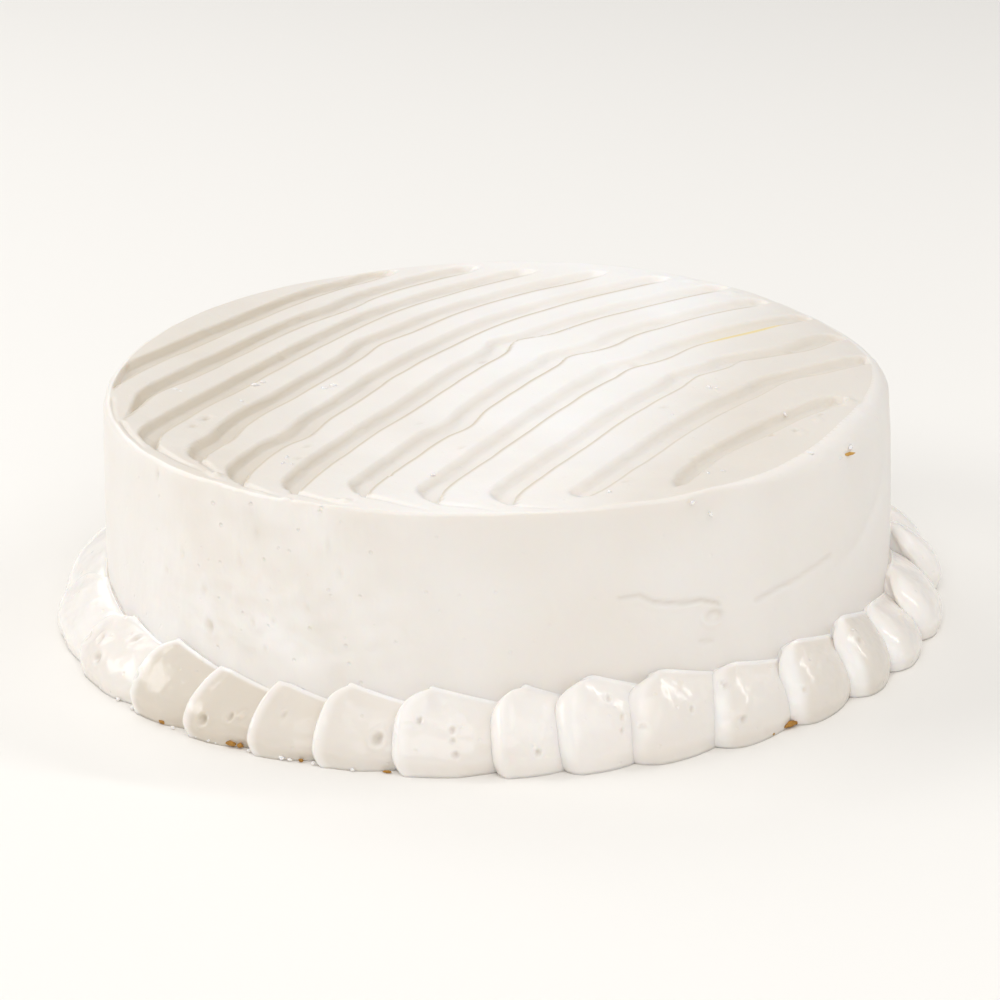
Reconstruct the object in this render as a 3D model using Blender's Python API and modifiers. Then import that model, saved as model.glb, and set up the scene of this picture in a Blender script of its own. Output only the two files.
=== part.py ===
"""A round tres leches cake, spread with whipped cream.

The cake is one uncut solid. A comb has drawn eleven wavy grooves across its top, and a border
of piped shells runs round its foot. Each shell is a rounded pad whose head lies over the tail
of the shell before it. The front of the cake looks along -Y, and its flat foot is at Z = 0.
"""

import math
import random

import bmesh
import bpy
from mathutils import Vector

# Driving dimensions, in metres and degrees
RIM_RADIUS = 0.130
CAKE_HEIGHT = 0.080
WALL_SWELL = 0.0018
SWELL_HEIGHT = 0.42
RIM_ROUND = 0.0035
HAND_UNEVENNESS = 0.0005
TOP_UNEVENNESS = 0.0005
BACK_RISE = 0.0009
RIM_SAG = 0.0026
SAG_ANGLE = 25.0
SAG_SPREAD = 32.0
BODY_STEPS = 96

COMB_TEETH = 11
TOOTH_PITCH = 0.0218
COMB_HEADING = 55.0
GROOVE_WIDTH = 0.0088
GROOVE_DEPTH = 0.0035
COMB_OFFSET = -0.0138
COMB_FAN = 0.00042
GROOVE_BOW = 0.0242
GROOVE_SWAY = 0.0020
SWAY_LENGTH = 0.169
SWAY_START = 0.086
SWAY_DRIFT = 0.0042
GROOVE_END_RADIUS = 0.1225
HOOK_LENGTH = 0.014
HOOK_SHIFT = 0.0030
TIP_WIDTH = 0.35
TIP_POINTS = 4
BACK_WIDTH = 0.7
GROOVE_POINTS = 22
FRONT_CROWDING = 1.5

SHELL_REACH = 0.0195
SHELL_HEIGHT = 0.0215
SHELL_PEAK = 0.36
SHELL_LAP = 0.10
SHELL_LEAD = 0.03
REACH_LEAN = 0.05
LEAN_ANGLE = 305.0
SHELL_TAIL = 1.16
HEAD_CROWDING = 1.25
HEAD_LOW = 0.25
HEAD_FULLNESS = 2.5
TAIL_DROP = 0.17
TAIL_DRAW_IN = 0.19
THINNEST = 0.0012
BELLY_FULLNESS = 2.3
FOOT_TUCK = 0.05
FIRST_EDGE = 168.0
SEEN_WIDTHS = (18.0, 16.5, 14.7, 10.4, 10.1, 9.2, 10.4, 12.0, 8.5, 9.7, 11.7, 11.8, 11.3, 9.7, 11.5, 15.5)
SEEN_HEIGHTS = (1.0, 0.95, 0.95, 1.01, 0.83, 0.84, 1.0, 1.07, 1.16, 1.23, 1.12, 0.94, 0.95, 0.96, 0.78, 0.9)
HIDDEN_SHELLS = 14
SHELL_STATIONS = 11
OUTER_POINTS = 7

GAP = 0.0003
CUTTER_OVERRUN = 0.003
SHARP_ANGLE = 40.0
CREAM_WHITE = (0.93, 0.90, 0.85, 1.0)
SHELL_WHITE = (0.94, 0.92, 0.88, 1.0)
SEED = 33


def clear_scene():
    for obj in list(bpy.data.objects):
        bpy.data.objects.remove(obj, do_unlink=True)


def new_collection(name):
    collection = bpy.data.collections.new(name)
    bpy.context.scene.collection.children.link(collection)
    return collection


def cream(name, colour, roughness):
    """Whipped cream: a warm white that is soft and a little glossy."""
    material = bpy.data.materials.new(name)
    material.use_nodes = True
    shader = material.node_tree.nodes["Principled BSDF"]
    shader.inputs["Base Color"].default_value = colour
    shader.inputs["Roughness"].default_value = roughness
    shader.inputs["Metallic"].default_value = 0.0
    material.diffuse_color = colour
    return material


def add_object(name, mesh, collection, material=None):
    obj = bpy.data.objects.new(name, mesh)
    collection.objects.link(obj)
    if material:
        mesh.materials.append(material)
    return obj


def evaluated_mesh(obj):
    """The mesh that the object's modifiers or bevel give, as a mesh of its own."""
    bpy.context.view_layer.update()
    graph = bpy.context.evaluated_depsgraph_get()
    return bpy.data.meshes.new_from_object(obj.evaluated_get(graph))


def as_cutter(obj):
    obj.hide_render = True
    obj.display_type = "WIRE"


# The side of the cake
def wall_radius(angle, height):
    """Radius of the side: swollen a little below the middle, and uneven from the spatula."""
    rise = (height / CAKE_HEIGHT - SWELL_HEIGHT) / (1.0 - SWELL_HEIGHT)
    swell = WALL_SWELL * (1.0 - rise * rise)
    hand = HAND_UNEVENNESS * (math.sin(2.0 * angle + 0.8) + 0.6 * math.sin(5.0 * angle + 2.1))
    return RIM_RADIUS + swell + hand


def top_lift(x, y):
    """Height of the top over its mean: low spatula waves, a rise to the back, a sunk rim at the right."""
    waves = TOP_UNEVENNESS * (math.sin(x / 0.041 + 0.6) + math.sin(y / 0.033 + x / 0.070))
    out = math.hypot(x, y) / RIM_RADIUS
    off = (math.degrees(math.atan2(y, x)) - SAG_ANGLE) / SAG_SPREAD
    sag = RIM_SAG * math.exp(-off * off) * min(1.0, out) ** 12
    return waves + BACK_RISE * y / RIM_RADIUS - sag


def body_profile():
    """Half outline from the middle of the top, over the rounded rim, down the side to the foot."""
    flat = RIM_RADIUS - RIM_ROUND
    points = [(flat * share, CAKE_HEIGHT) for share in (0.0, 0.25, 0.5, 0.75, 0.92)]
    for turn in (0.0, 30.0, 60.0, 90.0):
        swing = math.radians(turn)
        drop = RIM_ROUND * (1.0 - math.cos(swing))
        points.append((flat + RIM_ROUND * math.sin(swing), CAKE_HEIGHT - drop))
    for share in (0.75, 0.5, 0.3, 0.2, 0.1, 0.0):
        points.append((RIM_RADIUS, share * CAKE_HEIGHT))
    points.append((0.0, 0.0))
    return points


def turned_body(collection):
    """The profile turned into a solid with a Screw modifier."""
    mesh = bpy.data.meshes.new("body_profile")
    points = [(radius, 0.0, height) for radius, height in body_profile()]
    mesh.from_pydata(points, [(i, i + 1) for i in range(len(points) - 1)], [])
    obj = add_object("body_profile", mesh, collection)
    screw = obj.modifiers.new("turn", "SCREW")
    screw.steps = BODY_STEPS
    screw.render_steps = BODY_STEPS
    screw.use_merge_vertices = True
    screw.merge_threshold = 0.00001
    return obj


def spread_by_hand(mesh):
    """Moves the turned points out to the uneven side, and lifts the top by its low waves."""
    for vertex in mesh.vertices:
        x, y, z = vertex.co
        radius = math.hypot(x, y)
        if radius < 1e-6:
            vertex.co.z += top_lift(x, y) if z > 0.0 else 0.0
            continue
        angle = math.atan2(y, x)
        grow = wall_radius(angle, z) / RIM_RADIUS
        vertex.co.x = x * grow
        vertex.co.y = y * grow
        if z > CAKE_HEIGHT - RIM_ROUND - 1e-6:
            vertex.co.z += top_lift(x, y)
    mesh.update()
    for polygon in mesh.polygons:
        polygon.use_smooth = abs(polygon.normal.z) < 0.9


# The comb's grooves
def groove_point(tooth, along):
    """A place on one groove, tooth 0 being the left one: a bowed line that sways with the hand.

    Along is measured on the comb's heading from the middle of the cake. The teeth's lines lie
    side by side across the heading, fanned out a little to the right, and all sway alike.
    """
    side = tooth - (COMB_TEETH - 1) / 2.0
    reach = along / RIM_RADIUS
    across = COMB_OFFSET + TOOTH_PITCH * side + COMB_FAN * side * side * (1.0 + reach)
    across += GROOVE_BOW * reach * reach
    sway = 2.0 * math.pi * (along - SWAY_START + SWAY_DRIFT * side) / SWAY_LENGTH
    across += GROOVE_SWAY * math.sin(sway)
    heading = math.radians(COMB_HEADING)
    x = along * math.cos(heading) + across * math.sin(heading)
    y = along * math.sin(heading) - across * math.cos(heading)
    return Vector((x, y, 0.0))


def groove_reach(tooth):
    """The stretch of a groove that lies inside the rim, as its first and last measure along."""
    steps = 400
    inside = []
    for i in range(steps + 1):
        along = RIM_RADIUS * (2.0 * i / steps - 1.0)
        if groove_point(tooth, along).length < GROOVE_END_RADIUS:
            inside.append(along)
    return min(inside), max(inside)


def groove_path(tooth):
    """Points of one groove from its hooked front end to its round back end."""
    first, last = groove_reach(tooth)
    points = []
    for i in range(GROOVE_POINTS):
        along = first + (last - first) * (i / (GROOVE_POINTS - 1)) ** FRONT_CROWDING
        point = groove_point(tooth, along)
        near_front = max(0.0, 1.0 - (along - first) / HOOK_LENGTH)
        point.x += HOOK_SHIFT * near_front * near_front
        point.z = CAKE_HEIGHT + top_lift(point.x, point.y)
        points.append(point)
    return points


def groove_cutter(tooth, collection):
    """A tube along one groove, sunk to the groove's depth and tapered at its front tip."""
    tube_radius = (GROOVE_WIDTH**2 / 4.0 + GROOVE_DEPTH**2) / (2.0 * GROOVE_DEPTH)
    path = groove_path(tooth)
    curve = bpy.data.curves.new("groove_line", "CURVE")
    curve.dimensions = "3D"
    curve.bevel_depth = tube_radius
    curve.bevel_resolution = 2
    curve.use_fill_caps = True
    spline = curve.splines.new("POLY")
    spline.points.add(len(path) - 1)
    for i, (point, place) in enumerate(zip(spline.points, path)):
        front = TIP_WIDTH + (1.0 - TIP_WIDTH) * i / TIP_POINTS
        back = BACK_WIDTH + (1.0 - BACK_WIDTH) * (len(path) - 1 - i)
        taper = min(1.0, front, back)
        sink = GROOVE_DEPTH * taper - tube_radius * taper
        point.co = (place.x, place.y, place.z - sink, 1.0)
        point.radius = taper
    line = bpy.data.objects.new("groove_line", curve)
    collection.objects.link(line)
    mesh = evaluated_mesh(line)
    work = bmesh.new()
    work.from_mesh(mesh)
    bmesh.ops.remove_doubles(work, verts=work.verts, dist=0.00001)
    bmesh.ops.recalc_face_normals(work, faces=work.faces)
    work.to_mesh(mesh)
    work.free()
    cutter = add_object(f"groove_cutter_{tooth + 1:02d}", mesh, collection)
    cutter.matrix_world = line.matrix_world.copy()
    bpy.data.objects.remove(line, do_unlink=True)
    as_cutter(cutter)
    return cutter


def frosted_cake(parts, grooves, material):
    """The body with its top combed: the turned solid less all the groove tubes."""
    turned = turned_body(parts)
    mesh = evaluated_mesh(turned)
    bpy.data.objects.remove(turned, do_unlink=True)
    spread_by_hand(mesh)
    cake = add_object("frosted_cake", mesh, parts, material)
    for tooth in range(COMB_TEETH):
        groove_cutter(tooth, grooves)
    comb = cake.modifiers.new("comb", "BOOLEAN")
    comb.operation = "DIFFERENCE"
    comb.operand_type = "COLLECTION"
    comb.collection = grooves
    comb.solver = "EXACT"
    return cake


# The piped border
def shell_plan():
    """Each shell's first angle, width, height and reach, counterclockwise from the left side.

    The widths and heights of the shells in front follow the piper's rhythm as seen. Those
    behind share what is left of the ring, with a small seeded unevenness.
    """
    draw = random.Random(SEED)
    rest = 360.0 - sum(SEEN_WIDTHS)
    shares = [draw.uniform(0.85, 1.15) for _ in range(HIDDEN_SHELLS)]
    widths = list(SEEN_WIDTHS) + [rest * share / sum(shares) for share in shares]
    heights = list(SEEN_HEIGHTS) + [draw.uniform(0.88, 1.1) for _ in range(HIDDEN_SHELLS)]
    plan = []
    edge = FIRST_EDGE
    for width, height in zip(widths, heights):
        lean = 1.0 + REACH_LEAN * math.cos(math.radians(edge - LEAN_ANGLE))
        reach = SHELL_REACH * lean * draw.uniform(0.97, 1.0)
        start = math.radians(edge - SHELL_LAP * width)
        plan.append((start, math.radians(width), SHELL_HEIGHT * height, reach))
        edge += width
    return plan


def round_end(share, fullness):
    """Rises from 0 to 1 as share goes from 0 to 1, steep at first, as the end of a pad does."""
    left = 1.0 - min(1.0, max(0.0, share))
    return (1.0 - left**fullness) ** (1.0 / fullness)


def shell_section(place, height, reach):
    """Height and reach of a shell at a place along it, 0 at its head and 1 at the next shell."""
    if place < SHELL_PEAK:
        top = HEAD_LOW + (1.0 - HEAD_LOW) * round_end(place / SHELL_PEAK, 2.0)
        out = round_end(place / SHELL_PEAK, HEAD_FULLNESS)
    else:
        fall = (place - SHELL_PEAK) / (1.0 - SHELL_PEAK)
        top = 1.0 - TAIL_DROP * fall
        out = 1.0 - TAIL_DRAW_IN * fall * fall
    return height * top, max(THINNEST, reach * out)


def shell_ring(shell, place, grow):
    """One section across a shell, from its foot over its belly to the wall and back to the floor.

    The outer part is a quarter of a rounded, bellied outline: a superellipse. With grow it is
    larger all round and runs past the wall and the floor.
    """
    start, width, height, reach = shell
    angle = start + width * place - grow / RIM_RADIUS
    top, out = shell_section(place, height, reach)
    top += grow
    out += grow
    overrun = CUTTER_OVERRUN if grow else 0.0
    ring = [(wall_radius(angle, 0.0) + GAP + out * (1.0 - FOOT_TUCK), -overrun)]
    for j in range(1, OUTER_POINTS):
        swing = math.radians(90.0 * j / (OUTER_POINTS - 1))
        z = top * math.sin(swing) ** (2.0 / BELLY_FULLNESS)
        away = out * max(0.0, math.cos(swing)) ** (2.0 / BELLY_FULLNESS)
        ring.append((wall_radius(angle, z) + GAP + away, z))
    if grow:
        ring.append((wall_radius(angle, top) + GAP - overrun, top))
    ring.append((wall_radius(angle, 0.0) + GAP - overrun, -overrun))
    return [(r * math.cos(angle), r * math.sin(angle), z) for r, z in ring]


def shell_mesh(name, shell, grow):
    """A pad lofted along the wall through its sections, which stand closer at its head."""
    rings = []
    for i in range(SHELL_STATIONS):
        share = (i / (SHELL_STATIONS - 1)) ** HEAD_CROWDING
        rings.append(shell_ring(shell, SHELL_LEAD + (SHELL_TAIL - SHELL_LEAD) * share, grow))
    count = len(rings[0])
    last = count * (SHELL_STATIONS - 1)
    faces = [tuple(range(count)), tuple(range(last + count - 1, last - 1, -1))]
    for i in range(SHELL_STATIONS - 1):
        for j in range(count):
            near = i * count + j
            beside = i * count + (j + 1) % count
            faces.append((beside, near, near + count, beside + count))
    mesh = bpy.data.meshes.new(name)
    mesh.from_pydata([point for ring in rings for point in ring], [], faces)
    work = bmesh.new()
    work.from_mesh(mesh)
    bmesh.ops.recalc_face_normals(work, faces=work.faces)
    bmesh.ops.triangulate(work, faces=work.faces)
    work.to_mesh(mesh)
    work.free()
    mesh.shade_smooth()
    mesh.set_sharp_from_angle(angle=math.radians(SHARP_ANGLE))
    return mesh


def piped_border(parts, cutters, material):
    """All the shells, each hollowed at its tail by the head of the next one."""
    plan = shell_plan()
    for number, shell in enumerate(plan, start=1):
        following = plan[number % len(plan)]
        name = f"piped_shell_{number:02d}"
        obj = add_object(name, shell_mesh(name, shell, 0.0), parts, material)
        head = add_object(f"head_cutter_{number:02d}", shell_mesh("head", following, GAP), cutters)
        as_cutter(head)
        tuck = obj.modifiers.new("tuck", "BOOLEAN")
        tuck.operation = "DIFFERENCE"
        tuck.object = head
        tuck.solver = "EXACT"


def main():
    clear_scene()
    parts = new_collection("tres_leches_cake")
    grooves = new_collection("groove_cutters")
    heads = new_collection("head_cutters")
    frosted_cake(parts, grooves, cream("spread_whipped_cream", CREAM_WHITE, 0.5))
    piped_border(parts, heads, cream("piped_whipped_cream", SHELL_WHITE, 0.4))


main()
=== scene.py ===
"""A round tres leches cake: soaked sponge spread with whipped cream, uncut.

The cream's top is combed in eleven wavy grooves, and a border of thirty piped shells runs round
the foot. Every surface is a function of two parameters on a grid, worked out with numpy in the
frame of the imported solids: metres, +Z up, the front of the cake towards -Y, its foot at Z = 0.
"""

import math
import random

import bpy
import numpy as np
from mathutils import Matrix, Quaternion, Vector


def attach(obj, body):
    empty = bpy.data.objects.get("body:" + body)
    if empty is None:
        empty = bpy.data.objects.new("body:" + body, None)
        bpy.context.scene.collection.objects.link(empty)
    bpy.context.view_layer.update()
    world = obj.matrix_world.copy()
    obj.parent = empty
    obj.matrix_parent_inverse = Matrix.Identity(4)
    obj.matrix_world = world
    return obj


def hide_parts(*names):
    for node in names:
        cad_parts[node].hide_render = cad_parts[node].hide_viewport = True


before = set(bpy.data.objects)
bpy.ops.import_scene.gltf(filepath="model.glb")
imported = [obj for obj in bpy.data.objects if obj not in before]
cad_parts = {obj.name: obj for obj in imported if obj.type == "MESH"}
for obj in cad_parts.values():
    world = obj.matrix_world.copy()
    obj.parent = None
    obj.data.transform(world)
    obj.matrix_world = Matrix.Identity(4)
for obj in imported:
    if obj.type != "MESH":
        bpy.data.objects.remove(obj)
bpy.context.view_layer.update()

# The spread cream
#
# One coat of whipped cream, about 5 mm thick, over the sponge. A spatula has smoothed the side and
# the top, and a wide-toothed comb has been drawn across the top in one waving stroke, turned to
# the right at its start so that each groove begins in a pointed hook.
RIM_RADIUS = 0.130
CAKE_HEIGHT = 0.080
WALL_SWELL = 0.0018
SWELL_HEIGHT = 0.42
HAND_UNEVENNESS = 0.0005
TOP_UNEVENNESS = 0.0005
BACK_RISE = 0.0009
RIM_SAG = 0.0026
SAG_ANGLE = 25.0
SAG_SPREAD = 32.0

COMB_TEETH = 11
MIDDLE_TOOTH = 5
TOOTH_PITCH = 0.0218
COMB_HEADING = math.radians(55.0)
GROOVE_WIDTH = 0.0088
GROOVE_DEPTH = 0.0031
COMB_OFFSET = -0.0138
COMB_FAN = 0.00042
GROOVE_BOW = 0.0242
GROOVE_SWAY = 0.0020
SWAY_LENGTH = 0.169
SWAY_START = 0.086
SWAY_DRIFT = 0.0042

# Where the hand jolted: tooth, place along in radii, shift across in millimetres, spread in radii
JOLTS = (
    (1, 0.25, 2.4, 0.1), (1, -0.55, -2, 0.1), (3, -0.72, 2.6, 0.08), (3, 0.06, -2.4, 0.08),
    (4, -0.59, 2.4, 0.08), (4, -0.14, -1.2, 0.07), (5, 0.24, -3.4, 0.055), (6, -0.33, 2.2, 0.07),
    (6, 0.22, -1.8, 0.05), (6, 0.35, 3, 0.08), (7, 0.22, -1.3, 0.05), (7, 0.34, 2.4, 0.08),
    (8, 0.26, -2.4, 0.06), (8, 0.42, -1.4, 0.04), (8, 0.6, 3.6, 0.09), (9, 0.35, -2.4, 0.08),
    (10, -0.2, -2.4, 0.2), (10, 0.15, -1.6, 0.3),
)
JOLT_REACH = 0.36


def smooth(share):
    """0 below 0, 1 above 1, and between them 3 times the square less 2 times the cube."""
    share = np.clip(share, 0.0, 1.0)
    return share * share * (3.0 - 2.0 * share)


def bell(distance, spread):
    """1 at no distance, falling off as a bell: e to the minus square of distance over spread."""
    return np.exp(-((distance / spread) ** 2))


def turned_from(angle, centre):
    """How far an angle in radians is from a centre in degrees, in degrees, the short way round."""
    return (np.degrees(angle) - centre + 180.0) % 360.0 - 180.0


def uneven(points, seed, longest, shortest, count=28):
    """Smooth unevenness of about unit size: a sum of sine waves through space.

    Their directions and phases are drawn from the seed. Their lengths run from longest to
    shortest, and each is as high as the root of its length.
    """
    draw = np.random.default_rng(seed)
    total = np.zeros(points.shape[:-1])
    lengths = np.geomspace(longest, shortest, count)
    for length in lengths:
        direction = draw.normal(size=3)
        direction *= 2.0 * math.pi / (length * np.linalg.norm(direction))
        total += math.sqrt(length) * np.sin(points @ direction + draw.uniform(0.0, 2.0 * math.pi))
    return total / math.sqrt(0.5 * lengths.sum())


def round_axis(radius, angle, z):
    """Points at a radius from the cake's axis, an angle and a height."""
    return np.stack([radius * np.cos(angle), radius * np.sin(angle), z], axis=-1)


def shared_out(places, density, steps):
    """Places that share out evenly the area under a density, so they are close where it is high."""
    count = np.concatenate([[0.0], np.cumsum(0.5 * (density[1:] + density[:-1]))])
    return np.interp(np.linspace(0.0, 1.0, steps + 1), count / count[-1], places)


def wall_radius(angle, height):
    """Radius of the side: swollen a little below the middle, and uneven from the spatula."""
    rise = (height / CAKE_HEIGHT - SWELL_HEIGHT) / (1.0 - SWELL_HEIGHT)
    hand = HAND_UNEVENNESS * (np.sin(2.0 * angle + 0.8) + 0.6 * np.sin(5.0 * angle + 2.1))
    return RIM_RADIUS + WALL_SWELL * (1.0 - rise * rise) + hand


def top_lift(x, y):
    """Height of the top over its mean: low spatula waves, a rise to the back, a sunk right rim."""
    lift = TOP_UNEVENNESS * (np.sin(x / 0.041 + 0.6) + np.sin(y / 0.033 + x / 0.070))
    out = np.minimum(1.0, np.hypot(x, y) / RIM_RADIUS)
    sag = RIM_SAG * bell(turned_from(np.arctan2(y, x), SAG_ANGLE), SAG_SPREAD) * out**12
    return lift + BACK_RISE * y / RIM_RADIUS - sag


def groove_across(side, along):
    """Place across the comb's heading of the line at a side, counted in teeth from the middle.

    The lines lie a pitch apart, fan out to the right, bow with the square of the place along,
    sway together with the hand, and jump aside where it jolted.
    """
    reach = along / RIM_RADIUS
    across = COMB_OFFSET + TOOTH_PITCH * side + COMB_FAN * side * side * (1.0 + reach)
    across = across + GROOVE_BOW * reach * reach
    sway = 2.0 * math.pi * (along - SWAY_START + SWAY_DRIFT * side) / SWAY_LENGTH
    across = across + GROOVE_SWAY * np.sin(sway)
    for tooth, place, shift, spread in JOLTS:
        near = bell(side + MIDDLE_TOOTH - tooth, JOLT_REACH)
        across = across + 0.001 * shift * near * bell(reach - place, spread)
    return across


def turned_to_cake(along, across):
    """Along and across the comb's heading to x and y."""
    x = along * math.cos(COMB_HEADING) + across * math.sin(COMB_HEADING)
    y = along * math.sin(COMB_HEADING) - across * math.cos(COMB_HEADING)
    return x, y


# The rim's rounding is 1 mm, and softer where the spatula left it: centre, spread, more of it
RIM_ROUND = 0.0010
SOFT_RIMS = ((-22, 24, 0.0070), (182, 30, 0.0010), (24, 22, 0.0030), (140, 30, 0.0015))


def rim_round(angle):
    """Radius of the rounding between top and side at an angle."""
    more = sum(extra * bell(turned_from(angle, centre), spread) for centre, spread, extra in SOFT_RIMS)
    return RIM_ROUND + more


def top_edge(angle):
    """Radius at which the top ends and its rounding begins."""
    rounding = rim_round(angle)
    return wall_radius(angle, CAKE_HEIGHT - rounding) - rounding


def past_edge(side, along):
    """How far outside the top's edge the places at a side and along lie."""
    x, y = turned_to_cake(along, groove_across(side, along))
    return np.hypot(x, y) - top_edge(np.arctan2(y, x))


COMB_LINES = 384
LINE_POINTS = 118
END_SHARE = 0.22
LIP_SHARE = 0.34
LIP_PLACE = GROOVE_WIDTH / (2.0 * TOOTH_PITCH)
LIP_BAND = 0.045


def comb_lines():
    """The sides of the lines that the top's grid follows, from one tangent line to the other.

    A count that rises with the side is shared out evenly: part of it rises evenly, part gathers
    at the two ends as the arc cosine does, and part in a band at each groove's near lip.
    """
    sides = np.linspace(-8.0, 8.0, 3201)
    along = np.linspace(-RIM_RADIUS, RIM_RADIUS, 241)[:, None]
    spare = past_edge(sides[None, :], along).min(axis=0)
    inside = np.flatnonzero(spare < 0.0)
    first, last = inside[0], inside[-1]
    low = np.interp(0.0, -spare[first - 1 : first + 1], sides[first - 1 : first + 1])
    high = np.interp(0.0, spare[last : last + 2], sides[last : last + 2])
    fine = np.linspace(low, high, 6000)
    share = (fine - low) / (high - low)
    gathered = np.arccos(np.clip(1.0 - 2.0 * share, -1.0, 1.0)) / math.pi
    lips = np.zeros_like(fine)
    for tooth in range(COMB_TEETH):
        lips += 0.5 + 0.5 * np.tanh((fine - (tooth - MIDDLE_TOOTH) - LIP_PLACE) / LIP_BAND)
    lips = (lips - lips[0]) / (lips[-1] - lips[0])
    count = (1.0 - END_SHARE - LIP_SHARE) * share + END_SHARE * gathered + LIP_SHARE * lips
    return np.interp(np.linspace(0.0, 1.0, COMB_LINES + 1), count, fine)


def line_ends(sides):
    """Where each line crosses the top's edge, first and last, as measures along."""
    along = np.linspace(-1.1 * RIM_RADIUS, 1.1 * RIM_RADIUS, 1201)
    spare = past_edge(sides[None, :], along[:, None])
    inside = spare < 0.0
    column = np.arange(len(sides))
    first = inside.argmax(axis=0)
    last = len(along) - 1 - inside[::-1].argmax(axis=0)

    def crossing(outer, inner):
        away, into = spare[outer, column], spare[inner, column]
        return along[outer] + (along[inner] - along[outer]) * away / (away - into)

    start, end = crossing(first - 1, first), crossing(last + 1, last)
    lone = ~inside.any(axis=0)
    nearest = along[spare.argmin(axis=0)]
    return np.where(lone, nearest, start), np.where(lone, nearest, end)


def line_steps():
    """Shares of a line at which its points stand, closer at its front end and its back end."""
    share = np.linspace(0.0, 1.0, 2000)
    return shared_out(share, 1.0 + 2.6 * bell(share, 0.09) + bell(1.0 - share, 0.06), LINE_POINTS)


# The groove's section: a soft far wall, a floor that sinks towards the near lip, a crisp near lip
FAR_SOFTNESS = 0.0008
FAR_WALL = 0.0023
NEAR_WALL = 0.0010
FLOOR_TILT = 0.28
BACK_CLOSING = 0.0055
# One row a groove, in millimetres: where it starts along the heading, how far its front is pushed
# to the right, over what length its far wall swings in to a point there, and where it ends
GROOVE_ENDS = (
    (-79, 4.6, 30, 76), (-99.5, 2.9, 52, 95), (-112.2, 4.2, 13, 102), (-115.2, 2.1, 17, 114),
    (-125, 1.9, 11, 121), (-122.1, 0, 10, 125), (-114.3, 1.2, 10, 119), (-107.5, 3.4, 10, 113),
    (-97, 3.6, 8, 99), (-79.5, -2, 6, 84), (-57.5, -3.2, 24, 41),
)
PUSH_LENGTH = 0.014
SLIM_TIP = 1.1
# The narrow place of one groove: tooth, place along, how far its near lip comes in, its spread
PINCHES = (
    (5, 0.036, 0.003, 0.0065), (8, 0.055, 0.0012, 0.006), (6, 0.03, 0.001, 0.006),
    (10, -0.034, 0.003, 0.018),
)


def groove_line(tooth, along):
    """Where one groove starts, closes and ends along, its middle line across, and its near half width.

    The line is pushed aside before the groove's start by the square of the share still to go.
    """
    start, push, closing, end = (0.001 * value for value in GROOVE_ENDS[tooth])
    to_go = np.clip(1.0 - (along - start) / max(PUSH_LENGTH, closing), 0.0, 1.0)
    near = np.full_like(along, GROOVE_WIDTH / 2.0)
    for pinched, place, pinch, spread in PINCHES:
        if pinched == tooth:
            near -= pinch * bell(along - place, spread)
    return start, closing, end, groove_across(tooth - MIDDLE_TOOTH, along) + push * to_go**2, near


def groove_depth(tooth, along, across, ragged):
    """How deep one groove is at a place, and the painted shade on its far wall.

    Both come from its section and from how it closes at its ends. The far wall is ragged, moved
    by a small unevenness. The near lip was cut clean.

    At the front the far wall swings over to the near lip as a quarter of an ellipse, and over a
    long closing in a slimmer curve, which leaves a point. At the back both walls close in as half
    an ellipse.
    """
    start, closing, end, line, near = groove_line(tooth, along)
    off = across - line
    half = GROOVE_WIDTH / 2.0
    front = np.clip((along - start) / closing, 0.0, 1.0)
    back = np.clip((end + 0.3 * BACK_CLOSING - along) / BACK_CLOSING, 0.0, 1.0)
    power = 0.5 + SLIM_TIP * min(max((closing - 0.017) / 0.020, 0.0), 1.0)
    open_front = (1.0 - (1.0 - front) ** 2) ** power
    open_back = np.sqrt(1.0 - (1.0 - back) ** 2)
    far = near - (near + half) * open_front
    middle = 0.5 * (near + far)
    near = middle + (near - middle) * open_back
    far = middle - (middle - far) * open_back
    far_wall = smooth((off + ragged - far + FAR_SOFTNESS) / FAR_WALL)
    lip = np.clip((near - off) / NEAR_WALL, 0.0, 1.0)
    near_wall = 1.0 - (1.0 - lip) ** 2
    floor = 1.0 - FLOOR_TILT + FLOOR_TILT * smooth((off + half) / GROOVE_WIDTH)
    taper = np.minimum(1.0, 2.0 * open_front) * np.minimum(1.0, 1.4 * open_back)
    ends = (front > 0.0) & (back > 0.0)
    depth = np.where(ends, GROOVE_DEPTH * floor * far_wall * near_wall * taper, 0.0)
    # Painted shade: a band down the far wall, which faces away from the light
    shade = np.where(ends, taper * bell(off - far - 0.22 * FAR_WALL, 0.42 * FAR_WALL), 0.0)
    return depth, shade


# A thin painted shadow along each near lip, where the groove's floor lies hidden in shade:
# how wide, and how deep its colour is
LINE_HALF = 0.00085
LINE_BACK = 0.0004
LINE_DEPTH = 2.1


def lip_shadow(along, across):
    """The painted shadow's depth in the line at the near lips, stronger on the left than on the right."""
    total = np.zeros_like(along)
    for tooth in range(COMB_TEETH):
        start, _, end, line, near = groove_line(tooth, along)
        inside = smooth((along - start) / 0.002) * smooth((end - along) / 0.012)
        total = np.maximum(total, inside * bell(across - line - near - LINE_BACK, LINE_HALF))
    return LINE_DEPTH * (1.0 - 0.05 * np.clip(across / 0.02, -2.0, 6.0)) * total


# Tails that the hooks trail along the rim: start and end angle, start and end radius, in degrees
# and millimetres, then half width and depth at the start, in millimetres
HOOK_TAILS = (
    (-174, -160, 127.6, 129.2, 0.9, 0.6), (-163, -151, 127.2, 128.6, 0.9, 0.8),
    (-151, -136, 124.6, 125.4, 0.9, 1.1), (-141, -135.5, 120, 123.5, 0.9, 1.2),
    (-129, -120, 125.2, 129, 0.9, 1.2), (-121, -112, 122.5, 127.5, 0.9, 1.1),
    (-110, -99, 118.3, 127, 0.9, 1), (-98, -89, 120.1, 127.5, 0.9, 0.8),
    (-87, -80, 122.5, 128, 0.8, 0.6),
)
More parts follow.
